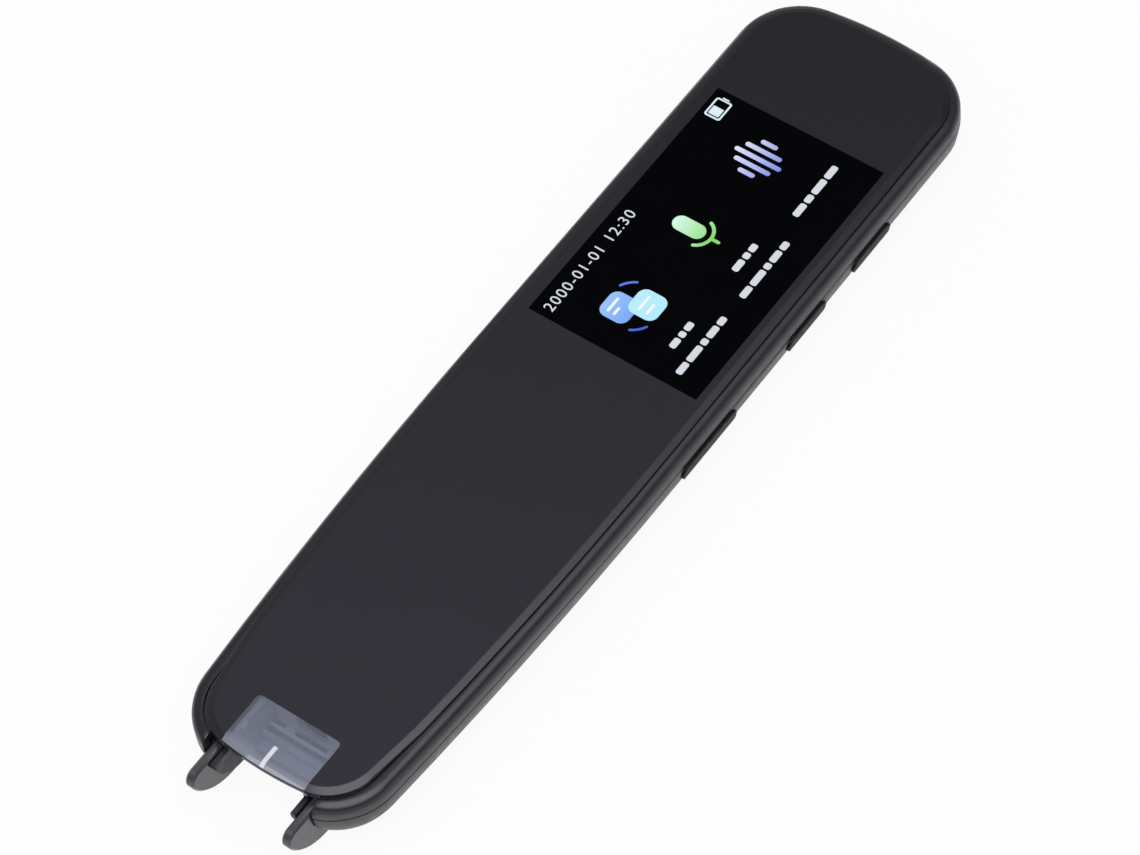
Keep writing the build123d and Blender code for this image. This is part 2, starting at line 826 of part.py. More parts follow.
def make_display_flex():
    return panel_flex(z_panel + panel_thick / 3, display_flex_x, display_flex_width, display_fold)


def make_touch_flex():
    return panel_flex(z_touch + flex_thick / 2, touch_flex_x, touch_flex_width, touch_fold)


def stack(inset, low, high, tip_extra=0.0):
    """A sheet of the display stack."""
    start = screen_tip_y + inset + tip_extra
    end = screen_tail_y - inset
    return slab(inset - screen_half, screen_half - inset, start, end, low, high)


def make_touch_sensor():
    return stack(0, z_touch, z_glass)


def make_display_panel():
    """Liquid crystal cell with its polariser, which stops short of the driver ledge."""
    cell = stack(display_gap, z_panel, z_touch - polariser_thick)
    return cell + stack(2 * display_gap, z_touch - polariser_thick, z_touch, screen_tip_border / 2)


def make_backlight_tray():
    """Shallow metal tray under the panel."""
    tray = stack(display_gap, z_tray, z_panel)
    return tray - stack(display_gap + tray_wall, z_tray + tray_wall, z_panel + overrun)


def make_light_guide():
    """Clear sheet that fills the tray."""
    return stack(display_gap + tray_wall + pin_gap, z_tray + tray_wall, z_panel)


def make_display_foam():
    """Foam block between the display tray and the main board."""
    start = screen_centre_y - screen_length / 4
    end = screen_centre_y + screen_length / 2
    return block(0, (start + end) / 2, board_half, end - start, z_board, z_tray)


def make_main_board():
    """Main board, narrower past the display to clear the tail's corners."""
    board = slab(-board_half, board_half, board_tip_y, board_waist_y, z_under, z_board)
    board += slab(-board_waist_half, board_waist_half, board_waist_y, board_tail_y, z_under, z_board)
    for x, y in board_screw_places():
        board -= rod(x, y, small_screw_thick + 2 * fit_gap, z_under - overrun, z_board + overrun)
    return board


def make_shield_can():
    """Pressed cover over the two large chips, under the board."""
    can = slab(-can_width / 2, can_width / 2, can_y - can_length / 2, can_y + can_length / 2,
               z_under - can_height, z_under)
    can = fillet(can.edges().group_by(Axis.Z)[0], 2 * can_wall)
    hollow = slab(-can_width / 2 + can_wall, can_width / 2 - can_wall, can_y - can_length / 2 + can_wall,
                  can_y + can_length / 2 - can_wall, z_under - can_height + can_wall, z_under + overrun)
    return can - hollow


def chip(x, y, width, length, thick):
    """A chip on the underside of the board."""
    return slab(x - width / 2, x + width / 2, y - length / 2, y + length / 2, z_under - thick, z_under)


def make_processor():
    y = can_y + can_length / 2 - can_wall - chip_gap - processor_width / 2
    return chip(0, y, processor_width, processor_width, chip_thick)


def make_memory_chip():
    y = can_y - can_length / 2 + can_wall + chip_gap + memory_length / 2
    return chip(0, y, memory_width, memory_length, chip_thick)


def make_board_components():
    """Small parts in two rows on the underside of the board."""
    start = can_y - can_length / 2 - 2 * passive_pitch
    rows = []
    for row, length in ((-1, passive_length), (1, 2 * passive_length)):
        for i in range(passive_count):
            x = (i - (passive_count - 1) / 2) * passive_pitch
            y = start + row * passive_pitch / 2
            rows.append(chip(x, y, passive_width * 2, length, passive_thick))
    return Part() + rows


def make_antenna():
    """Bent metal antenna that stands on the board at the tail."""
    x0 = antenna_x - antenna_width / 2
    x1 = antenna_x + antenna_width / 2
    y0 = antenna_y - antenna_length / 2
    y1 = antenna_y + antenna_length / 2
    top = z_board + antenna_height
    sheet = slab(x0, x1, y0, y1, top - antenna_sheet, top)
    sheet -= slab(x0 + antenna_length, x1 - antenna_sheet * 3, antenna_y - antenna_length / 6,
                  antenna_y + antenna_length / 6, top - overrun, top + overrun)
    sheet += slab(x0, x0 + antenna_sheet, y0, y1, z_board, top)
    return sheet + slab(x1 - antenna_length / 2, x1, y0, y0 + antenna_sheet, z_board, top)


def make_battery_cell():
    """Flat pouch cell with soft edges."""
    z0 = wall + tape_thick
    cell = slab(-battery_half, battery_half, battery_tip_y, battery_tail_y, z0, z0 + battery_thick)
    return fillet(cell.edges().filter_by(Axis.Y), battery_round)


def make_battery_tape():
    """Double-sided tape under the cell."""
    half = battery_half - battery_round - tape_inset
    start = battery_tip_y + tape_inset
    return slab(-half, half, start, battery_tail_y - tape_inset, wall, wall + tape_thick)


def lead_z():
    """Height of the battery's leads and of the plug they enter, under the board."""
    return z_under - plug_thick / 2


def make_battery_protector():
    """Small protection board at the cell's tail end."""
    return slab(-protector_half - 2 * wire_pitch, protector_half, battery_tail_y,
                battery_tail_y + protector_length, lead_z() - protector_thick / 2,
                lead_z() + protector_thick / 2)


def make_battery_plug():
    """Plug under the board where the cell's leads end."""
    return chip(lead_x, board_tip_y + plug_length / 2, plug_width, plug_length, plug_thick)


def make_battery_wires():
    """Two short leads from the protection board to the plug."""
    start = battery_tail_y + protector_length
    return Part() + [rod_y(x, lead_z(), wire_thick, start, board_tip_y)
                     for x in (lead_x - wire_pitch / 2, lead_x + wire_pitch / 2)]


def make_screws(places, thick, length, head_width, head_thick, seat):
    """Flat-topped screws, heads up."""
    screws = []
    for x, y in places:
        shaft = rod(x, y, thick, seat - length, seat)
        screws.append(shaft + rod(x, y, head_width, seat, seat + head_thick))
    return Part() + screws


def make_case_screws():
    return make_screws(case_screw_places(), screw_thick, screw_length, screw_head_width, screw_head_thick,
                       z_head)


def make_board_screws():
    return make_screws(board_screw_places(), small_screw_thick, small_screw_length, small_head_width,
                       small_head_thick, z_board)


def make_button(y, length):
    """A round-ended cap that follows the case's side, with two ears and a nub behind it."""
    back = body_half - ear_inset - ear_thick
    cap = button_stadium(y, length, button_height, back, body_half + button_proud)
    cap &= rolled(grown(body, button_proud), z_seam, back_round, back_round + button_proud, back_steps)
    low = button_z + ear_lift - ear_height / 2
    ears = slab(back, back + ear_thick, y - length / 2 - ear_length, y + length / 2 + ear_length, low,
                low + ear_height)
    nub = slab(side_bore_floor() + button_travel + dome_gap, back, y - nub_width / 2, y + nub_width / 2,
               button_z - nub_width / 2, button_z + nub_width / 2)
    return cap + ears + nub


def side_bore_floor():
    """Floor of the side switches' bores."""
    return bracket_x + bracket_thick + flex_thick + side_switch_thick / 4


def make_side_switches():
    """Three small push switches, each bored for its button's nub."""
    x0 = bracket_x + bracket_thick + flex_thick
    switches = []
    for name, y, length in buttons():
        switch = slab(x0, x0 + side_switch_thick, y - side_switch_length / 2, y + side_switch_length / 2,
                      button_z - side_switch_height / 2, button_z + side_switch_height / 2)
        switch -= slab(side_bore_floor(), x0 + side_switch_thick + overrun, y - switch_bore / 2,
                       y + switch_bore / 2, button_z - switch_bore / 2, button_z + switch_bore / 2)
        switches.append(switch)
    return Part() + switches


def make_button_flex():
    """Flat cable that carries the side switches."""
    start, end = bracket_limits()
    x0 = bracket_x + bracket_thick
    return slab(x0, x0 + flex_thick, start, end, button_z - button_height / 2, button_z + button_height / 2)


def make_switch_bracket():
    """Steel strip behind the switches, resting on the housing's stays."""
    start, end = bracket_limits()
    return slab(bracket_x, bracket_x + bracket_thick, start, end, button_z - bracket_height / 2,
                button_z + bracket_height / 2)


def speaker_opening(rim, low, high):
    """The room inside a rim of the speaker's outline."""
    return block(0, speaker_y, speaker_width - 2 * rim, speaker_length - 2 * rim, low - overrun, high)


def make_speaker_gasket():
    """Foam ring under the speaker's basket."""
    ring = block(0, speaker_y, speaker_width, speaker_length, wall, wall + gasket_thick)
    return ring - speaker_opening(speaker_rim, wall, wall + gasket_thick + overrun)


def make_speaker_mesh():
    """Fine cloth over the sound slots."""
    room = 2 * speaker_rim + 2 * pin_gap
    return block(0, speaker_y, speaker_width - room, speaker_length - room, wall, wall + mesh_thick)


def make_speaker_frame():
    """Basket: open below for the cone, with a window above for the magnet."""
    low = wall + gasket_thick
    high = low + speaker_thick
    frame = pad(0, speaker_y, speaker_width, speaker_length, low, high, speaker_corner)
    frame -= speaker_opening(speaker_rim / 2, low, high - magnet_thick)
    return frame - block(0, speaker_y, magnet_width + 2 * pin_gap, magnet_length + 2 * pin_gap,
                         low - overrun, high + overrun)


def make_speaker_diaphragm():
    """Cone plate with a raised middle."""
    low = wall + gasket_thick + cone_rise
    edge = speaker_rim + 2 * pin_gap
    plate = block(0, speaker_y, speaker_width - edge, speaker_length - edge, low, low + cone_thick)
    return plate + block(0, speaker_y, magnet_width, magnet_length, low, low + 2 * cone_thick)


def make_speaker_magnet():
    high = wall + gasket_thick + speaker_thick
    return block(0, speaker_y, magnet_width, magnet_length, high - magnet_thick, high)


def make_speaker_contacts():
    """Two sprung contacts from the speaker's top to the underside of the board."""
    low = wall + gasket_thick + speaker_thick
    x = (speaker_width - contact_width) / 2
    return mirrored(block(x - contact_width, speaker_y, contact_width, contact_length, low, z_under))


def make_port_shell():
    """Charging port's drawn steel shell."""
    start = port_mouth_y - port_length
    shell = port_stadium(port_width, port_height, start, port_mouth_y)
    return shell - port_stadium(port_width - 2 * port_wall, port_height - 2 * port_wall, start - overrun,
                                port_mouth_y + overrun)


def make_port_tongue():
    """Contact tongue on a base that closes the shell's rear."""
    start = port_mouth_y - port_length
    z = z_under - port_height / 2
    high = port_height / 2 - port_wall - pin_gap
    wide = (port_width - port_height) / 2
    base = slab(-wide, wide, start, start + port_base, z - high, z + high)
    return base + slab(-tongue_width / 2, tongue_width / 2, start + port_base, port_mouth_y - tongue_inset,
                       z - tongue_thick / 2, z + tongue_thick / 2)


def make_microphone():
    return slab(mic_x - mic_width / 2, mic_x + mic_width / 2, mic_back_y, mic_back_y + mic_length,
                z_under - mic_thick, z_under)


def make_mic_gasket():
    """Rubber tube that leads the sound hole to the microphone, shaped to the wall."""
    start = mic_back_y + mic_length
    z = z_under - mic_thick / 2
    bore = mic_hole / 4
    tube = slab(mic_x - mic_length / 2, mic_x + mic_length / 2, start, tail_reach, z_under - mic_thick,
                z_under)
    return (tube & case_cavity()) - slab(mic_x - bore, mic_x + bore, start - overrun, tail_reach, z - bore,
                                         z + bore)


def all_parts():
    """Every piece under its name."""
    parts = {
        "front_glass": make_front_glass(),
        "glass_adhesive": make_glass_adhesive(),
        "front_frame": make_front_frame(),
        "rear_housing": make_rear_housing(),
        "scan_fork": make_scan_fork(),
        "fork_spring": make_fork_spring(),
        "trigger_switch": make_trigger_switch(),
        "scan_chamber": make_scan_chamber(),
        "led_board": make_led_board(),
        "scan_leds": make_scan_leds(),
        "light_diffuser": make_light_diffuser(),
        "camera_board": make_camera_board(),
        "image_sensor": make_image_sensor(),
        "lens_holder": make_lens_holder(),
        "lens_barrel": make_lens_barrel(),
        "camera_lens": make_camera_lens(),
        "camera_flex": make_camera_flex(),
        "touch_sensor": make_touch_sensor(),
        "touch_flex": make_touch_flex(),
        "display_panel": make_display_panel(),
        "display_flex": make_display_flex(),
        "backlight_tray": make_backlight_tray(),
        "light_guide": make_light_guide(),
        "display_foam": make_display_foam(),
        "main_board": make_main_board(),
        "board_sockets": make_board_sockets(),
        "shield_can": make_shield_can(),
        "processor": make_processor(),
        "memory_chip": make_memory_chip(),
        "board_components": make_board_components(),
        "antenna": make_antenna(),
        "battery_cell": make_battery_cell(),
        "battery_tape": make_battery_tape(),
        "battery_protector": make_battery_protector(),
        "battery_wires": make_battery_wires(),
        "battery_plug": make_battery_plug(),
        "case_screws": make_case_screws(),
        "board_screws": make_board_screws(),
        "side_switches": make_side_switches(),
        "button_flex": make_button_flex(),
        "switch_bracket": make_switch_bracket(),
        "speaker_gasket": make_speaker_gasket(),
        "speaker_mesh": make_speaker_mesh(),
        "speaker_frame": make_speaker_frame(),
        "speaker_diaphragm": make_speaker_diaphragm(),
        "speaker_magnet": make_speaker_magnet(),
        "speaker_contacts": make_speaker_contacts(),
        "port_shell": make_port_shell(),
        "port_tongue": make_port_tongue(),
        "microphone": make_microphone(),
        "mic_gasket": make_mic_gasket(),
    }
    for name, y, length in buttons():
        parts[name] = make_button(y, length)
    return parts


def save(parts):
    """Write one file for each piece."""
    for name, shape in parts.items():
        export_step(shape, os.path.join("parts", name + ".step"))


save(all_parts())
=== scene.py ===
from math import atan2, cos, pi, radians, sin

import bmesh
import bpy
from mathutils import Matrix, Vector


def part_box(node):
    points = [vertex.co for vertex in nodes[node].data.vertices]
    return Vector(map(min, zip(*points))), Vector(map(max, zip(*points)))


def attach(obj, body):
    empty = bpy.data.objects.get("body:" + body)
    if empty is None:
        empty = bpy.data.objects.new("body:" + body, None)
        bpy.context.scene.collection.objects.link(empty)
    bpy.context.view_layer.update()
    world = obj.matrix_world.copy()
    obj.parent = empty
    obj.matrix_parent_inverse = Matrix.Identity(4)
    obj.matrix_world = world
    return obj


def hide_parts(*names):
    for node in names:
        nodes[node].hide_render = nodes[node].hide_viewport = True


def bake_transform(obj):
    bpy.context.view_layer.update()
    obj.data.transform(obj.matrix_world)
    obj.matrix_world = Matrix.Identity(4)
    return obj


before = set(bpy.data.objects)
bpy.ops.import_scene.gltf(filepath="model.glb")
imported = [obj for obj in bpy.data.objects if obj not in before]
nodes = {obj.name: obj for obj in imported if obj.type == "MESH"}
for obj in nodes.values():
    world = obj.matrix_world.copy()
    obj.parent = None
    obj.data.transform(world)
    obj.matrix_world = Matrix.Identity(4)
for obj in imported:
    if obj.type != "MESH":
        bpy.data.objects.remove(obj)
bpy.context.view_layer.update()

MM = 0.001
CASE = "case"
WHITE = (1.0, 1.0, 1.0, 1)
BLACK = (0.0, 0.0, 0.0, 1)

# Camera, fitted to the object's outline in the photograph
IMAGE_WIDTH_PX = 1140
FOCAL_PX = 4473.16
SENSOR_MM = 36.0
CLIP_START = 10 * MM
CAMERA_PLACE = Vector((242.12, -267.97, 528.64)) * MM
CAMERA_RIGHT = Vector((0.807483, 0.585018, -0.07567))
CAMERA_UP = Vector((-0.450259, 0.694127, 0.561654))

# Lit display, as the photograph shows it behind the glass
SCREEN_LOW = Vector((-14.4, 8.95)) * MM
SCREEN_HIGH = Vector((14.95, 56.55)) * MM

# Layers above the glass: the display's ground, its signs, what overlaps those, and what lies on that
LAYER = 0.02 * MM
GROUND_LAYER = 1
SIGN_LAYER = 2
OVER_LAYER = 3
TOP_LAYER = 4

# Clock on the display, which reads along the pen
CLOCK_TEXT = "2000-01-01 12:30"
CLOCK_SIZE = 2.5 * MM
CLOCK_SPACING = 1.17
CLOCK_X = -11.05 * MM
CLOCK_Y = 10.1 * MM

# Clear window in the black print at the tip, and the white line on it
WINDOW_HALF = 7.1 * MM
WINDOW_REAR = -63.0 * MM
WINDOW_CORNER = 0.7 * MM
LINE_HALF = 0.33 * MM
LINE_REAR = -68.3 * MM
PRINT_EDGE = 0.03 * MM

# Cover glass's edge in mm: how far in from the outline it runs along the sides and at the tip,
# and how far below the top. It stands over the frame's rim, and draws in toward the tip.
GLASS_RINGS = ((0.0, 0.25, None), (0.0, 0.25, 0.66), (-0.3, 0.25, 0.56), (-0.38, 0.27, 0.5),
               (-0.4, 0.35, 0.44), (-0.38, 0.52, 0.37), (-0.32, 0.61, 0.33), (-0.22, 0.67, 0.3),
               (0.5, 1.22, 0.04), (0.64, 1.35, 0.01), (0.75, 1.45, 0.0))
DRAWN_START = -56 * MM
DRAWN_END = -70 * MM

# Cover glass: how far down from its top the print and the window reach, and the tint of what it mirrors
GLASS_EDGE = 0.44 * MM
GLASS_TINT = (0.92, 0.9, 1.0, 1)
PANE_ROUGH = 0.06
PANE_IOR = 1.45

# Surfaces in front: roughness, how far it varies, grain size and depth of the grain
FLAT_DEPTH = 0.00002 * MM
GLASS_SURFACE = (0.07, 0.02, 3 * MM, FLAT_DEPTH)
SIGN_SURFACE = (0.2, 0.05, 0.5 * MM, FLAT_DEPTH)
GROUND_SURFACE = (0.2, 0.04, 2 * MM, FLAT_DEPTH)

# Black print behind the glass, at the tail and at the tip, and the white line
PRINT_TAIL = (0.003, 0.0026, 0.006, 1)
PRINT_TIP = (0.0125, 0.0118, 0.0185, 1)
PRINT_SPAN = 60 * MM
PRINT_WAVER = 8 * MM
PRINT_PATCH = 6 * MM
LINE_COLOUR = (0.8, 0.8, 0.84, 1)

# Smoky film on the clear window: how much it hides at its rear and at its front edge
FILM_COLOUR = (0.26, 0.275, 0.35, 1)
FILM_TINT = (0.92, 0.95, 1.0, 1)
FILM_REAR = 0.38
FILM_FRONT = 0.8
FILM_START = -70.8 * MM
FILM_END = -69.4 * MM

# Scan chamber: pale inside, black beside the window and ahead of a plane that leans under the glass
CHAMBER_OUTSIDE = 7.2 * MM
CHAMBER_FRONT = -67.75 * MM
CHAMBER_LEAN = 0.38

# Lit display: how little its dark ground and its signs mirror, and how even their colours are
GROUND_IOR = 1.08
GROUND_PATCH = 5 * MM
GROUND_COLOURS = ((0.0009, 0.001, 0.0016, 1), (0.0012, 0.0014, 0.0022, 1))
SIGN_IOR = 1.1
SIGN_PATCH = 0.6 * MM
SIGN_EVEN = 0.94

# Colours of the lit signs: where they start and end across the pen in mm, and the first and last
SIGN_COLOURS = {
    "bars": (-6.0, 2.1, (0.76, 0.78, 0.95), (0.17, 0.25, 0.8)),
    "voice": (-6.0, 0.6, (0.68, 0.97, 0.82), (0.24, 0.72, 0.14)),
    "lower_tile": (-5.9, -0.9, (0.33, 0.55, 0.96), (0.19, 0.4, 0.94)),
    "upper_tile": (-2.8, 2.3, (0.49, 0.86, 0.96), (0.46, 0.84, 0.97)),
    "tile_marks": (-5.9, 2.3, (0.9, 0.95, 1.0), (0.86, 0.95, 1.0)),
    "tile_turns": (-5.9, 2.3, (0.12, 0.21, 0.72), (0.06, 0.13, 0.72)),
    "battery": (-13.5, -10.7, (0.74, 0.87, 0.94), (0.72, 0.85, 0.93)),
    "label": (5.5, 11.0, (0.7, 0.73, 0.8), (0.66, 0.69, 0.76)),
    "clock": (-13.0, -11.0, (0.72, 0.76, 0.84), (0.7, 0.74, 0.82)),
}

# Floor
FLOOR_HALF = 3.0
FLOOR_DROP = 0.02 * MM
FLOOR_PATCH = 200 * MM
FLOOR_COLOURS = ((0.9, 0.9, 0.9, 1), (0.93, 0.93, 0.93, 1))
FLOOR_ROUGH = 0.9
FLOOR_MIRROR = 0.1
BACKDROP_SHARE = 0.92

# World: its light, and what shiny surfaces see of the floor, of the sky from SKY_LOW up to the
# zenith (from MIRRORED_LOW to MIRRORED_HIGH), and of the horizon, which fades out at HORIZON_TOP
AMBIENT = 0.42
MIRRORED = 0.8
MIRRORED_LOW = 0.12
MIRRORED_HIGH = 0.97
SKY_LOW = 0.6
HORIZON = 0.75
HORIZON_TOP = 0.42

# Lamp
LAMP_WATTS = 8.5
LAMP_SIZE = 1.0
LAMP_PLACE = Vector((0.24, -0.36, 1.12))

# The lamp as shiny surfaces see it: a soft round patch of sky
PATCH_WAY = Vector((0.31, -0.23, 0.92))
PATCH_INNER = cos(radians(13))
PATCH_OUTER = cos(radians(46))
PATCH_STRENGTH = 2.6

# Edges flatter than this are smoothed over
SMOOTH_ANGLE = radians(38)
WELD = 0.002 * MM

# Broken edges of the mouldings
BEVELS = {"front_frame": 0.12 * MM, "rear_housing": 0.12 * MM, "scan_fork": 0.15 * MM,
          "upper_button": 0.12 * MM, "middle_button": 0.12 * MM, "lower_button": 0.12 * MM}
BEVEL_ANGLE = radians(50)
BEVEL_STEPS = 2

# Shadow in the parting line of the case: how far above and below it, and how dark
SEAM_HALF = 0.1 * MM
SEAM_SHADE_COLOUR = (0.0005, 0.0005, 0.0006, 1)

# Sizes of the patches of colour and of gloss in grains, and the middle range of a noise
COLOUR_PATCH = 25
GLOSS_PATCH = 9
NOISE_LOW = 0.3
NOISE_HIGH = 0.7
WIDE_LOW = 0.2
WIDE_HIGH = 0.8

# Colour sockets of a mix node
MIX_FIRST = 6
MIX_SECOND = 7
MIX_RESULT = 2

# Nodes behind the window that don't take their slot's finish
PALE_NODES = {"led_board": "chamber_plastic", "scan_leds": "frosted_plastic"}

# Finish of each material slot: colour, how far it varies, roughness, how far that varies,
# grain size in mm, depth of the grain in mm, how metallic it is, how much it mirrors
FINISHES = {
    "adhesive": ((0.02, 0.02, 0.022), 0.2, 0.6, 0.1, 0.5, 0.004, 0, 0.5),
    "frame_plastic": ((0.0108, 0.0102, 0.017), 0.2, 0.24, 0.04, 0.12, 0.0008, 0, 0.5),
    "housing_plastic": ((0.034, 0.033, 0.042), 0.15, 0.36, 0.05, 0.14, 0.0015, 0, 0.5),
    "fork_plastic": ((0.034, 0.035, 0.046), 0.1, 0.22, 0.04, 0.12, 0.0005, 0, 0.8),
    "button_plastic": ((0.004, 0.004, 0.005), 0.25, 0.55, 0.08, 0.1, 0.002, 0, 0.2),
    "spring_steel": ((0.55, 0.55, 0.57), 0.1, 0.3, 0.08, 0.3, 0.001, 1, 0.5),
    "part_plastic": ((0.05, 0.05, 0.055), 0.2, 0.5, 0.1, 0.15, 0.002, 0, 0.5),
    "chamber_plastic": ((0.34, 0.38, 0.5), 0.12, 0.45, 0.1, 0.2, 0.002, 0, 0.5),
    "circuit_board": ((0.01, 0.075, 0.035), 0.3, 0.42, 0.1, 0.6, 0.003, 0, 0.5),
    "lamp_resin": ((0.72, 0.68, 0.5), 0.08, 0.3, 0.05, 0.3, 0.001, 0, 0.5),
    "frosted_plastic": ((0.5, 0.54, 0.64), 0.1, 0.5, 0.08, 0.15, 0.002, 0, 0.5),
    "chip_resin": ((0.018, 0.018, 0.02), 0.2, 0.45, 0.1, 0.15, 0.002, 0, 0.5),
    "lens_glass": ((0.03, 0.035, 0.06), 0.1, 0.08, 0.02, 0.5, 0.0002, 0, 0.5),
    "flex_film": ((0.35, 0.15, 0.025), 0.2, 0.35, 0.08, 0.8, 0.002, 0, 0.5),
    "sensor_glass": ((0.02, 0.02, 0.022), 0.15, 0.12, 0.03, 0.5, 0.0002, 0, 0.5),
    "panel_glass": ((0.012, 0.012, 0.016), 0.15, 0.15, 0.03, 0.5, 0.0002, 0, 0.5),
    "drawn_steel": ((0.56, 0.56, 0.57), 0.12, 0.34, 0.1, 0.25, 0.002, 1, 0.5),
    "clear_acrylic": ((0.62, 0.64, 0.66), 0.08, 0.2, 0.05, 0.4, 0.0005, 0, 0.5),
    "foam_rubber": ((0.03, 0.03, 0.03), 0.3, 0.85, 0.08, 0.25, 0.02, 0, 0.5),
    "cell_pouch": ((0.5, 0.51, 0.53), 0.1, 0.32, 0.1, 0.6, 0.01, 1, 0.5),
    "wire_sleeve": ((0.35, 0.012, 0.01), 0.15, 0.45, 0.08, 0.2, 0.002, 0, 0.5),
    "screw_steel": ((0.3, 0.3, 0.31), 0.15, 0.38, 0.1, 0.1, 0.002, 1, 0.5),
    "mesh_cloth": ((0.02, 0.02, 0.02), 0.3, 0.8, 0.08, 0.12, 0.02, 0, 0.5),
    "magnet_metal": ((0.45, 0.45, 0.46), 0.1, 0.4, 0.08, 0.2, 0.002, 1, 0.5),
}


def add(tree, kind, **fields):
    """A new shader node with its fields set."""
    node = tree.nodes.new(kind)
    for name, value in fields.items():
        setattr(node, name, value)
    return node


def feed(tree, value, socket):
    """Put a number, colour or another node's output into a socket."""
    if isinstance(value, bpy.types.NodeSocket):
        tree.links.new(value, socket)
    else:
        socket.default_value = value


def calc(tree, operation, first, second=0.0):
    """The result of one sum."""
    node = add(tree, "ShaderNodeMath", operation=operation)
    feed(tree, first, node.inputs[0])
    feed(tree, second, node.inputs[1])
    return node.outputs[0]


def ranged(tree, value, low, high, new_low, new_high):
    """A value carried from one range to another, and held inside it."""
    node = add(tree, "ShaderNodeMapRange")
    for socket, number in zip(node.inputs, (value, low, high, new_low, new_high)):
        feed(tree, number, socket)
    return node.outputs[0]


def mixed(tree, factor, first, second):
    """A colour between two."""
    node = add(tree, "ShaderNodeMix", data_type="RGBA")
    feed(tree, factor, node.inputs["Factor"])
    feed(tree, first, node.inputs[MIX_FIRST])
    feed(tree, second, node.inputs[MIX_SECOND])
    return node.outputs[MIX_RESULT]


def tint(colour, amount=1.0):
    """A colour made lighter or darker, with its fourth channel."""
    return tuple(channel * amount for channel in colour) + (1.0,)


def places(tree):
    """The place on the object, and its three coordinates."""
    place = add(tree, "ShaderNodeTexCoord").outputs["Object"]
    split = add(tree, "ShaderNodeSeparateXYZ")
    feed(tree, place, split.inputs[0])
    return place, split.outputs[0], split.outputs[1], split.outputs[2]


def noise(tree, place, grain, detail):
    """Uneven patches of about a grain's size."""
    node = add(tree, "ShaderNodeTexNoise")
    feed(tree, place, node.inputs["Vector"])
    node.inputs["Scale"].default_value = 1 / grain
    node.inputs["Detail"].default_value = detail
    return node.outputs["Fac"]


def blank(name):
    """A new material, its nodes and its main shader."""
    material = bpy.data.materials.new(name)
    material.use_nodes = True
    return material, material.node_tree, material.node_tree.nodes["Principled BSDF"]


def roughen(tree, shader, place, roughness, rough_vary, grain, depth):
    """Uneven gloss and a fine grain."""
    coarse = noise(tree, place, grain * GLOSS_PATCH, detail=3)
    uneven = ranged(tree, coarse, NOISE_LOW, NOISE_HIGH, roughness - rough_vary, roughness + rough_vary)
    feed(tree, uneven, shader.inputs["Roughness"])
    bump = add(tree, "ShaderNodeBump")
    bump.inputs["Distance"].default_value = depth
    feed(tree, noise(tree, place, grain, detail=2), bump.inputs["Height"])
    feed(tree, bump.outputs[0], shader.inputs["Normal"])


def finish(name, colour, vary, roughness, rough_vary, grain, depth, metallic, mirror):
    """A surface with uneven colour and gloss and a fine grain."""
    material, tree, shader = blank(name)
    place = places(tree)[0]
    coarse = noise(tree, place, grain * MM * COLOUR_PATCH, detail=4)
    patches = ranged(tree, coarse, NOISE_LOW, NOISE_HIGH, 0, 1)
    feed(tree, mixed(tree, patches, tint(colour, 1 - vary), tint(colour, 1 + vary)),
         shader.inputs["Base Color"])
    shader.inputs["Metallic"].default_value = metallic
    shader.inputs["Specular IOR Level"].default_value = mirror
    roughen(tree, shader, place, roughness, rough_vary, grain * MM, depth * MM)
    return material


def window_mask(tree, x, y):
    """1 inside the clear window, whose two rear corners are rounded."""
    across = calc(tree, "MAXIMUM", calc(tree, "SUBTRACT", calc(tree, "ABSOLUTE", x),
                                        WINDOW_HALF - WINDOW_CORNER))
    along = calc(tree, "MAXIMUM", calc(tree, "SUBTRACT", y, WINDOW_REAR - WINDOW_CORNER))
    squares = calc(tree, "ADD", calc(tree, "POWER", across, 2.0), calc(tree, "POWER", along, 2.0))
    return ranged(tree, calc(tree, "SQRT", squares), WINDOW_CORNER, WINDOW_CORNER + PRINT_EDGE, 1, 0)


def line_mask(tree, x, y):
    """1 on the white line."""
    across = ranged(tree, calc(tree, "ABSOLUTE", x), LINE_HALF, LINE_HALF + PRINT_EDGE, 1, 0)
    along = ranged(tree, y, LINE_REAR, LINE_REAR + PRINT_EDGE, 1, 0)
    return calc(tree, "MULTIPLY", across, along)


def chamber_finish(slot):
    """Pale bluish inside, black outside the window."""
    material = finish("chamber_finish", *FINISHES[slot])
    tree = material.node_tree
    x, y, z = places(tree)[1:]
    beside = ranged(tree, calc(tree, "ABSOLUTE", x), CHAMBER_OUTSIDE, CHAMBER_OUTSIDE + PRINT_EDGE, 0, 1)
    leaning = calc(tree, "ADD", y, calc(tree, "MULTIPLY", z, CHAMBER_LEAN))
    ahead = ranged(tree, leaning, CHAMBER_FRONT - PRINT_EDGE, CHAMBER_FRONT, 1, 0)
    socket = tree.nodes["Principled BSDF"].inputs["Base Color"]
    pale = socket.links[0].from_socket
    black = tint(FINISHES["frame_plastic"][0])
    feed(tree, mixed(tree, calc(tree, "MAXIMUM", beside, ahead), pale, black), socket)
    return material


def case_finish(slot):
    """A half of the case, with painted shadow in the parting line."""
    material = finish(slot + "_finish", *FINISHES[slot])
    tree = material.node_tree
    height = places(tree)[3]
    away = calc(tree, "ABSOLUTE", calc(tree, "SUBTRACT", height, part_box("front_frame")[0].z))
    # Painted shadow: the parting line is made near-black and mirrors nothing
    inside = ranged(tree, away, SEAM_HALF, SEAM_HALF + PRINT_EDGE, 1, 0)
    shader = tree.nodes["Principled BSDF"]
    plain = shader.inputs["Base Color"].links[0].from_socket
    feed(tree, mixed(tree, inside, plain, SEAM_SHADE_COLOUR), shader.inputs["Base Color"])
    mirror = ranged(tree, inside, 0, 1, FINISHES[slot][-1], 0)
    feed(tree, mirror, shader.inputs["Specular IOR Level"])
    return material


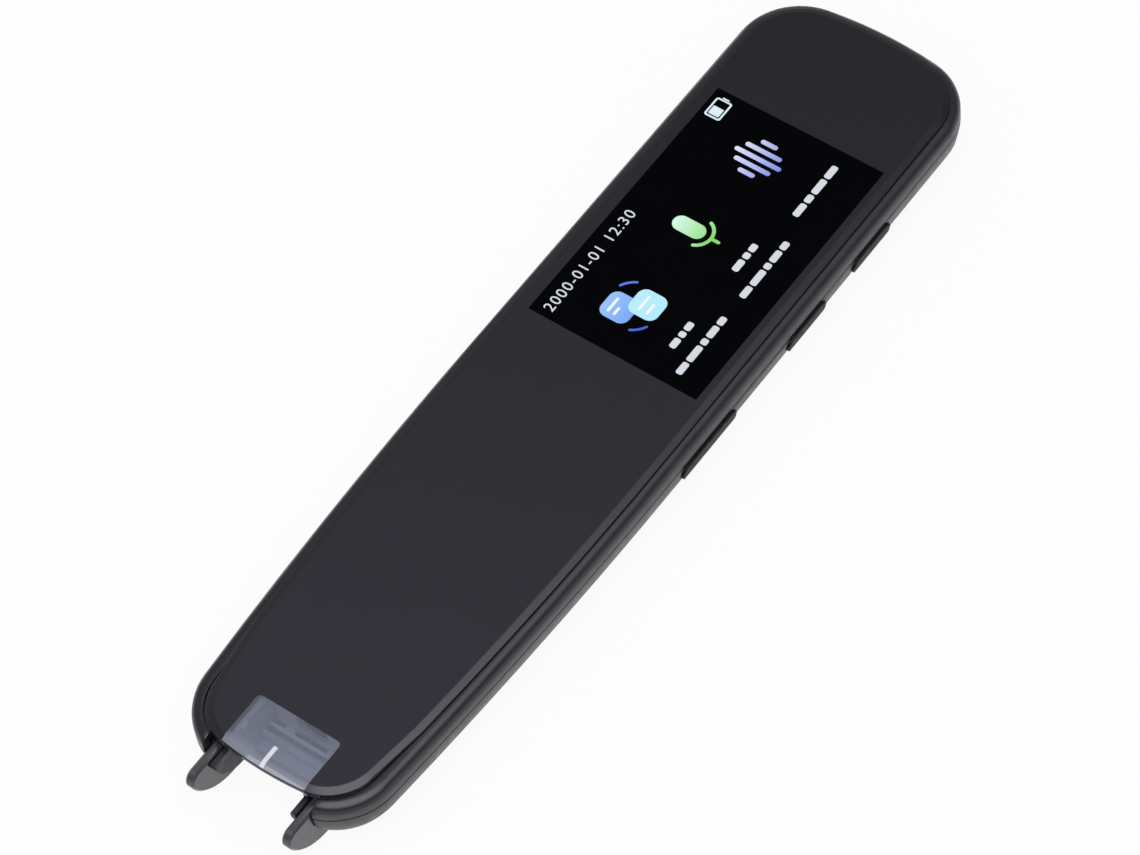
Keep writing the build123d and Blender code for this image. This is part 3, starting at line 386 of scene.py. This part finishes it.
# Slots whose finish changes from place to place
PLACED_FINISHES = {"chamber_plastic": chamber_finish, "frame_plastic": case_finish,
                   "housing_plastic": case_finish}


def slot_finish(slot):
    """The finish of a material slot."""
    if slot in PLACED_FINISHES:
        return PLACED_FINISHES[slot](slot)
    return finish(slot + "_finish", *FINISHES[slot])


def film_pane(tree, y, above):
    """The window's smoky film on the glass's upper side, clear below, with the glass's own gloss."""
    see = add(tree, "ShaderNodeBsdfTransparent")
    feed(tree, mixed(tree, above, WHITE, FILM_TINT), see.inputs["Color"])
    film = add(tree, "ShaderNodeBsdfDiffuse")
    film.inputs["Color"].default_value = FILM_COLOUR
    smoky = add(tree, "ShaderNodeMixShader")
    hiding = ranged(tree, y, FILM_START, FILM_END, FILM_FRONT, FILM_REAR)
    feed(tree, calc(tree, "MULTIPLY", hiding, above), smoky.inputs[0])
    feed(tree, see.outputs[0], smoky.inputs[1])
    feed(tree, film.outputs[0], smoky.inputs[2])
    gloss = add(tree, "ShaderNodeBsdfGlossy")
    gloss.inputs["Roughness"].default_value = PANE_ROUGH
    fresnel = add(tree, "ShaderNodeFresnel")
    fresnel.inputs["IOR"].default_value = PANE_IOR
    pane = add(tree, "ShaderNodeMixShader")
    feed(tree, fresnel.outputs[0], pane.inputs[0])
    feed(tree, smoky.outputs[0], pane.inputs[1])
    feed(tree, gloss.outputs[0], pane.inputs[2])
    return pane.outputs[0]


def glass_finish():
    """Cover glass: black print behind it, a smoky window at the tip and a white line."""
    material, tree, shader = blank("cover_glass_finish")
    place, x, y, z = places(tree)
    low, high = (corner.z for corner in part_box("front_glass"))
    above = ranged(tree, z, high - GLASS_EDGE, high - GLASS_EDGE + PRINT_EDGE, 0, 1)
    below = ranged(tree, z, low + LAYER, low + 2 * LAYER, 1, 0)
    line = calc(tree, "MULTIPLY", line_mask(tree, x, y), above)
    window = calc(tree, "MULTIPLY", window_mask(tree, x, y), above)
    clear = calc(tree, "SUBTRACT", calc(tree, "MAXIMUM", window, below), line)
    patches = noise(tree, place, PRINT_PATCH, detail=3)
    waver = ranged(tree, patches, WIDE_LOW, WIDE_HIGH, -PRINT_WAVER, PRINT_WAVER)
    toward_tip = ranged(tree, calc(tree, "ADD", y, waver), -PRINT_SPAN, PRINT_SPAN, 1, 0)
    print_colour = mixed(tree, toward_tip, PRINT_TAIL, PRINT_TIP)
    feed(tree, mixed(tree, line, print_colour, LINE_COLOUR), shader.inputs["Base Color"])
    shader.inputs["Specular Tint"].default_value = GLASS_TINT
    roughen(tree, shader, place, *GLASS_SURFACE)
    both = add(tree, "ShaderNodeMixShader")
    feed(tree, clear, both.inputs[0])
    feed(tree, shader.outputs[0], both.inputs[1])
    feed(tree, film_pane(tree, y, above), both.inputs[2])
    feed(tree, both.outputs[0], tree.nodes["Material Output"].inputs["Surface"])
    return material


def lit_finish(name):
    """A lit sign on the display, whose colour runs from one to another across the pen."""
    start, end, first, second = SIGN_COLOURS[name]
    material, tree, shader = blank(name + "_finish")
    place, x = places(tree)[:2]
    across = ranged(tree, x, start * MM, end * MM, 0, 1)
    patches = noise(tree, place, SIGN_PATCH, detail=2)
    uneven = ranged(tree, patches, WIDE_LOW, WIDE_HIGH, SIGN_EVEN, 1.0)
    colour = mixed(tree, calc(tree, "MULTIPLY", across, uneven), tint(first), tint(second))
    shader.inputs["Base Color"].default_value = BLACK
    shader.inputs["IOR"].default_value = SIGN_IOR
    feed(tree, colour, shader.inputs["Emission Color"])
    shader.inputs["Emission Strength"].default_value = 1.0
    roughen(tree, shader, place, *SIGN_SURFACE)
    return material


def black_finish():
    """The display's unlit ground."""
    material, tree, shader = blank("display_ground_finish")
    place = places(tree)[0]
    patches = noise(tree, place, GROUND_PATCH, detail=2)
    feed(tree, mixed(tree, patches, *GROUND_COLOURS), shader.inputs["Base Color"])
    shader.inputs["IOR"].default_value = GROUND_IOR
    roughen(tree, shader, place, *GROUND_SURFACE)
    return material


def geometry_group(name):
    """An empty geometry group, its start and its end."""
    group = bpy.data.node_groups.new(name, "GeometryNodeTree")
    group.interface.new_socket("Geometry", in_out="INPUT", socket_type="NodeSocketGeometry")
    group.interface.new_socket("Geometry", in_out="OUTPUT", socket_type="NodeSocketGeometry")
    return group, add(group, "NodeGroupInput"), add(group, "NodeGroupOutput")


def chain(group, *steps):
    """Join geometry steps one after another."""
    for before, after in zip(steps, steps[1:]):
        feed(group, before.outputs[0], after.inputs[0])


def welding():
    """A geometry group that joins the facets of a CAD solid."""
    group, start, end = geometry_group("weld_facets")
    weld = add(group, "GeometryNodeMergeByDistance")
    weld.inputs["Distance"].default_value = WELD
    bare = add(group, "GeometryNodeRemoveAttribute")
    bare.inputs["Name"].default_value = "custom_normal"
    chain(group, start, weld, bare, end)
    return group


def smoothing():
    """A geometry group that smooths all but the sharp edges."""
    group, start, end = geometry_group("smooth_over")
    faces = add(group, "GeometryNodeSetShadeSmooth", domain="FACE")
    edges = add(group, "GeometryNodeSetShadeSmooth", domain="EDGE")
    edges.inputs["Shade Smooth"].default_value = False
    angle = add(group, "GeometryNodeInputMeshEdgeAngle")
    sharp = add(group, "FunctionNodeCompare", data_type="FLOAT", operation="GREATER_THAN")
    feed(group, angle.outputs["Unsigned Angle"], sharp.inputs[0])
    sharp.inputs[1].default_value = SMOOTH_ANGLE
    feed(group, sharp.outputs[0], edges.inputs["Selection"])
    chain(group, start, faces, edges, end)
    return group


def dress_nodes():
    """Give every CAD node its finish, broken edges and smooth shading."""
    finishes = {slot: slot_finish(slot) for slot in FINISHES}
    finishes["cover_glass"] = finishes["panel_glass"]
    weld = welding()
    smoothing()
    for name, node in nodes.items():
        for holder in node.material_slots:
            holder.material = finishes[PALE_NODES.get(name, holder.material.name)]
        node.modifiers.new("weld_facets", "NODES").node_group = weld
        if name in BEVELS:
            bevel = node.modifiers.new("broken_edges", "BEVEL")
            bevel.width = BEVELS[name]
            bevel.segments = BEVEL_STEPS
            bevel.limit_method = "ANGLE"
            bevel.angle_limit = BEVEL_ANGLE
            bevel.use_clamp_overlap = False
        finish_shading(node)


def finish_shading(piece):
    """Smooth a piece over all but its sharp edges, flat faces first."""
    piece.modifiers.new("smooth_over", "NODES").node_group = bpy.data.node_groups["smooth_over"]
    piece.modifiers.new("even_normals", "WEIGHTED_NORMAL").keep_sharp = True


def glass_outline():
    """Points round the cover glass's underside, from the CAD node, in metres."""
    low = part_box("front_glass")[0].z
    points = {(round(v.co.x, 6), round(v.co.y, 6)) for v in nodes["front_glass"].data.vertices
              if v.co.z < low + WELD}
    return [Vector(point) for point in sorted(points, key=lambda point: atan2(point[1], point[0]))]


def drawn_in(y, side, tip):
    """A depth between its value along the sides and its value at the tip."""
    share = min(max((DRAWN_START - y) / (DRAWN_START - DRAWN_END), 0), 1)
    share *= share * (3 - 2 * share)
    return (side + (tip - side) * share) * MM


def inset(points, side, tip):
    """A closed outline moved inward."""
    moved = []
    for before, here, after in zip(points[-1:] + points, points, points[1:] + points[:1]):
        ways = [(here - before).normalized(), (after - here).normalized()]
        sides = [Vector((-way.y, way.x)) for way in ways]
        middle = (sides[0] + sides[1]).normalized()
        moved.append(here + middle * drawn_in(here.y, side, tip) / middle.dot(sides[0]))
    return moved


def make_cover_glass():
    """The cover glass with the wide shallow edge that the photograph shows, in the CAD glass's place."""
    low, high = (corner.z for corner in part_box("front_glass"))
    outline = glass_outline()
    shape = bmesh.new()
    rings = []
    for side, tip, drop in GLASS_RINGS:
        height = low if drop is None else high - drop * MM
        rings.append([shape.verts.new((point.x, point.y, height)) for point in inset(outline, side, tip)])
    count = len(outline)
    for lower, upper in zip(rings, rings[1:]):
        for i in range(count):
            j = (i + 1) % count
            shape.faces.new((lower[i], lower[j], upper[j], upper[i]))
    shape.faces.new(rings[-1])
    shape.faces.new(rings[0][::-1])
    mesh = bpy.data.meshes.new("cover_glass")
    shape.to_mesh(mesh)
    shape.free()
    piece = bpy.data.objects.new("cover_glass", mesh)
    bpy.context.scene.collection.objects.link(piece)
    mesh.materials.append(glass_finish())
    finish_shading(piece)
    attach(piece, CASE)
    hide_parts("front_glass")


def make_spring_leaves():
    """The fork's two bent leaves, copied from the CAD spring in its place."""
    node = nodes["fork_spring"]
    mesh = node.data.copy()
    mesh.transform(node.matrix_world)
    mesh.materials.clear()
    mesh.materials.append(bpy.data.materials["spring_steel_finish"])
    piece = bpy.data.objects.new("spring_leaves", mesh)
    bpy.context.scene.collection.objects.link(piece)
    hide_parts("fork_spring")
    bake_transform(piece)


def outline_rect(x0, x1, y0, y1, corner, steps=6):
    """Points of a rectangle with rounded corners, in mm."""
    corner = min(corner, (x1 - x0) / 2, (y1 - y0) / 2)
    middles = ((x1 - corner, y1 - corner), (x0 + corner, y1 - corner),
               (x0 + corner, y0 + corner), (x1 - corner, y0 + corner))
    points = []
    for quarter, (x, y) in enumerate(middles):
        for step in range(steps + 1):
            turn = pi / 2 * (quarter + step / steps)
            points.append((x + corner * cos(turn), y + corner * sin(turn)))
    return points


def stroke(points, width, steps=6):
    """Outline of a round-ended line through points, in mm."""
    line = [Vector(point) for point in points]
    ways = [(b - a).normalized() for a, b in zip(line, line[1:])]
    ways = [ways[0]] + [(a + b).normalized() for a, b in zip(ways, ways[1:])] + [ways[-1]]
    left = [p + Vector((-w.y, w.x)) * width / 2 for p, w in zip(line, ways)]
    right = [p - Vector((-w.y, w.x)) * width / 2 for p, w in zip(line, ways)]

    def cap(middle, way):
        side = Vector((-way.y, way.x))
        turns = [pi * step / steps for step in range(1, steps)]
        return [middle + (side * cos(turn) + way * sin(turn)) * width / 2 for turn in turns]

    return left + cap(line[-1], ways[-1]) + right[::-1] + cap(line[0], -ways[0])


def ring_arc(x, y, radius, start, end, steps=14):
    """Points along an arc, in mm and degrees."""
    turns = [radians(start + (end - start) * step / steps) for step in range(steps + 1)]
    return [(x + radius * cos(turn), y + radius * sin(turn)) for turn in turns]


def sheet_piece(name, outlines, layer, material):
    """Flat shapes in one layer above the glass, as one piece that rides on the case."""
    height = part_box("front_glass")[1].z + layer * LAYER
    shape = bmesh.new()
    for outline in outlines:
        shape.faces.new([shape.verts.new((x * MM, y * MM, height)) for x, y in outline])
    bmesh.ops.recalc_face_normals(shape, faces=shape.faces)
    for face in shape.faces:
        if face.normal.z < 0:
            face.normal_flip()
    mesh = bpy.data.meshes.new(name)
    shape.to_mesh(mesh)
    shape.free()
    piece = bpy.data.objects.new(name, mesh)
    bpy.context.scene.collection.objects.link(piece)
    mesh.materials.append(material)
    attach(piece, CASE)
    return piece


def make_display_ground():
    """Black ground of the lit display."""
    low, high = SCREEN_LOW / MM, SCREEN_HIGH / MM
    outline = [(low.x, low.y), (high.x, low.y), (high.x, high.y), (low.x, high.y)]
    sheet_piece("display_ground", [outline], GROUND_LAYER, black_finish())


def make_bars_sign():
    """Five rounded bars in a row."""
    bars = ((45.8, -3.4, -0.5), (47.3, -5.1, 1.2), (48.8, -6.0, 2.1), (50.3, -5.1, 1.2), (51.8, -3.4, -0.5))
    outlines = [outline_rect(x0, x1, y - 0.4, y + 0.4, 0.4) for y, x0, x1 in bars]
    sheet_piece("bars_sign", outlines, SIGN_LAYER, lit_finish("bars"))


def make_voice_sign():
    """A capsule over a cup on a short stem."""
    cup = ring_arc(-1.9, 33.2, 2.5, -68, 68)
    outlines = [outline_rect(-6.0, -0.5, 31.85, 34.55, 1.35), stroke(cup, 0.55),
                stroke([(0.6, 33.2), (1.9, 33.2)], 0.55)]
    sheet_piece("voice_sign", outlines, SIGN_LAYER, lit_finish("voice"))


def make_tiles_sign():
    """Two overlapping rounded tiles with a small mark on each, and a curved stroke on either side."""
    lower = [outline_rect(-5.9, -1.0, 13.7, 18.5, 1.4)]
    upper = [outline_rect(-2.7, 2.2, 16.3, 21.0, 1.4)]
    sheet_piece("lower_tile_sign", lower, SIGN_LAYER, lit_finish("lower_tile"))
    sheet_piece("upper_tile_sign", upper, OVER_LAYER, lit_finish("upper_tile"))
    rows = [stroke([(-0.9, 17.4), (-0.9, 19.9)], 0.45), stroke([(0.5, 17.4), (0.5, 19.0)], 0.45),
            stroke([(-4.5, 14.8), (-4.5, 17.2)], 0.45), stroke([(-3.4, 14.8), (-3.4, 15.9)], 0.45)]
    sheet_piece("tile_marks_sign", rows, TOP_LAYER, lit_finish("tile_marks"))
    sides = [stroke(ring_arc(-1.9, 17.4, 4.2, start, start + 34), 0.4) for start in (118, 298)]
    sheet_piece("tile_turns_sign", sides, SIGN_LAYER, lit_finish("tile_turns"))


def make_battery_sign():
    """A hollow battery, half full."""
    outer = outline_rect(-13.5, -10.7, 51.4, 55.1, 0.4)
    inner = outline_rect(-13.2, -11.0, 51.7, 54.8, 0.2)
    tip = outline_rect(-12.7, -11.5, 55.2, 55.45, 0.1)
    level = outline_rect(-13.0, -11.2, 51.9, 53.5, 0.1)
    white = lit_finish("battery")
    sheet_piece("battery_sign", [outer, tip], SIGN_LAYER, white)
    sheet_piece("battery_room", [inner], OVER_LAYER, black_finish())
    sheet_piece("battery_level", [level], TOP_LAYER, white)


def make_label_signs():
    """Rows of plain bars where the photograph shows words."""
    rows = (((7.9, 9.0), 43.1, (2.9, 1.9, 3.3, 2.9)), ((6.1, 7.2), 30.3, (2.6, 1.5, 1.8)),
            ((9.7, 10.8), 27.0, (2.6, 3.4, 1.5, 2.6, 1.9)), ((6.3, 7.4), 14.4, (2.2, 1.4, 1.9)),
            ((9.7, 10.8), 11.2, (2.6, 3.4, 1.5, 2.6, 1.9)))
    outlines = []
    for (x0, x1), y, lengths in rows:
        for length in lengths:
            outlines.append(outline_rect(x0, x1, y, y + length - 0.35, 0.35))
            y += length
    sheet_piece("label_signs", outlines, SIGN_LAYER, lit_finish("label"))


def make_clock_sign():
    """Plain digits of a clock that reads along the pen."""
    text = bpy.data.curves.new("clock_sign", "FONT")
    text.body = CLOCK_TEXT
    text.size = CLOCK_SIZE
    text.space_character = CLOCK_SPACING
    piece = bpy.data.objects.new("clock_sign", text)
    bpy.context.scene.collection.objects.link(piece)
    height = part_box("front_glass")[1].z + SIGN_LAYER * LAYER
    start = Matrix.Translation((CLOCK_X, CLOCK_Y, height))
    piece.matrix_world = start @ Matrix.Rotation(pi / 2, 4, "Z")
    text.materials.append(lit_finish("clock"))
    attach(piece, CASE)


def white_when_seen(tree, seen):
    """1 for the rays that look at a thing straight, in a mirror or through glass."""
    path = add(tree, "ShaderNodeLightPath")
    mirror = calc(tree, "MULTIPLY", path.outputs["Is Glossy Ray"], seen)
    glass = calc(tree, "MAXIMUM", path.outputs["Is Camera Ray"], path.outputs["Is Transmission Ray"])
    return calc(tree, "MAXIMUM", glass, mirror)


def make_world():
    """White surroundings that light the object softly."""
    world = bpy.data.worlds.new("studio")
    bpy.context.scene.world = world
    world.use_nodes = True
    tree = world.node_tree
    ground = tree.nodes["Background"]
    ground.inputs["Color"].default_value = WHITE
    around = add(tree, "ShaderNodeTexCoord").outputs["Generated"]
    way = add(tree, "ShaderNodeSeparateXYZ")
    feed(tree, around, way.inputs[0])
    sky = ranged(tree, way.outputs[2], SKY_LOW, 1.0, MIRRORED_LOW, MIRRORED_HIGH)
    low = ranged(tree, way.outputs[2], 0, HORIZON_TOP, HORIZON, 0)
    toward = add(tree, "ShaderNodeVectorMath", operation="DOT_PRODUCT")
    feed(tree, around, toward.inputs[0])
    toward.inputs[1].default_value = PATCH_WAY.normalized()
    patch = ranged(tree, toward.outputs["Value"], PATCH_OUTER, PATCH_INNER, 0, PATCH_STRENGTH)
    patch.node.interpolation_type = "SMOOTHSTEP"
    seen = white_when_seen(tree, calc(tree, "ADD", calc(tree, "MAXIMUM", sky, low), patch))
    feed(tree, calc(tree, "MAXIMUM", seen, AMBIENT), ground.inputs["Strength"])


def make_floor():
    """A pale floor that keeps the object's shadow."""
    mesh = bpy.data.meshes.new("floor")
    corners = [(x * FLOOR_HALF, y * FLOOR_HALF, -FLOOR_DROP) for x, y in ((-1, -1), (1, -1), (1, 1), (-1, 1))]
    mesh.from_pydata(corners, [], [(0, 1, 2, 3)])
    floor = bpy.data.objects.new("floor", mesh)
    bpy.context.scene.collection.objects.link(floor)
    material, tree, shader = blank("floor_finish")
    place = places(tree)[0]
    patches = noise(tree, place, FLOOR_PATCH, detail=3)
    feed(tree, mixed(tree, patches, *FLOOR_COLOURS), shader.inputs["Base Color"])
    shader.inputs["Roughness"].default_value = FLOOR_ROUGH
    shader.inputs["Specular IOR Level"].default_value = FLOOR_MIRROR
    glow = add(tree, "ShaderNodeEmission")
    both = add(tree, "ShaderNodeMixShader")
    feed(tree, calc(tree, "MULTIPLY", white_when_seen(tree, MIRRORED), BACKDROP_SHARE), both.inputs[0])
    feed(tree, shader.outputs[0], both.inputs[1])
    feed(tree, glow.outputs[0], both.inputs[2])
    feed(tree, both.outputs[0], tree.nodes["Material Output"].inputs["Surface"])
    mesh.materials.append(material)


def make_lamp(name, place, size, watts):
    """A square soft lamp that faces the object."""
    light = bpy.data.lights.new(name, "AREA")
    light.energy = watts
    light.size = size
    lamp = bpy.data.objects.new(name, light)
    lamp.location = place
    lamp.rotation_euler = (-place).to_track_quat("-Z", "Y").to_euler()
    lamp.visible_glossy = False
    bpy.context.scene.collection.objects.link(lamp)


def make_camera():
    """The photograph's view."""
    lens = bpy.data.cameras.new("view")
    lens.sensor_width = SENSOR_MM
    lens.lens = FOCAL_PX / IMAGE_WIDTH_PX * SENSOR_MM
    lens.clip_start = CLIP_START
    camera = bpy.data.objects.new("view", lens)
    back = CAMERA_RIGHT.cross(CAMERA_UP)
    turn = Matrix((CAMERA_RIGHT, CAMERA_UP, back)).transposed()
    camera.matrix_world = Matrix.Translation(CAMERA_PLACE) @ turn.to_4x4()
    bpy.context.scene.collection.objects.link(camera)
    bpy.context.scene.camera = camera


make_camera()
dress_nodes()
make_cover_glass()
make_spring_leaves()
make_display_ground()
make_bars_sign()
make_voice_sign()
make_tiles_sign()
make_battery_sign()
make_label_signs()
make_clock_sign()
make_world()
make_floor()
make_lamp("softbox", LAMP_PLACE, LAMP_SIZE, LAMP_WATTS)
bpy.context.scene.view_settings.view_transform = "Standard"
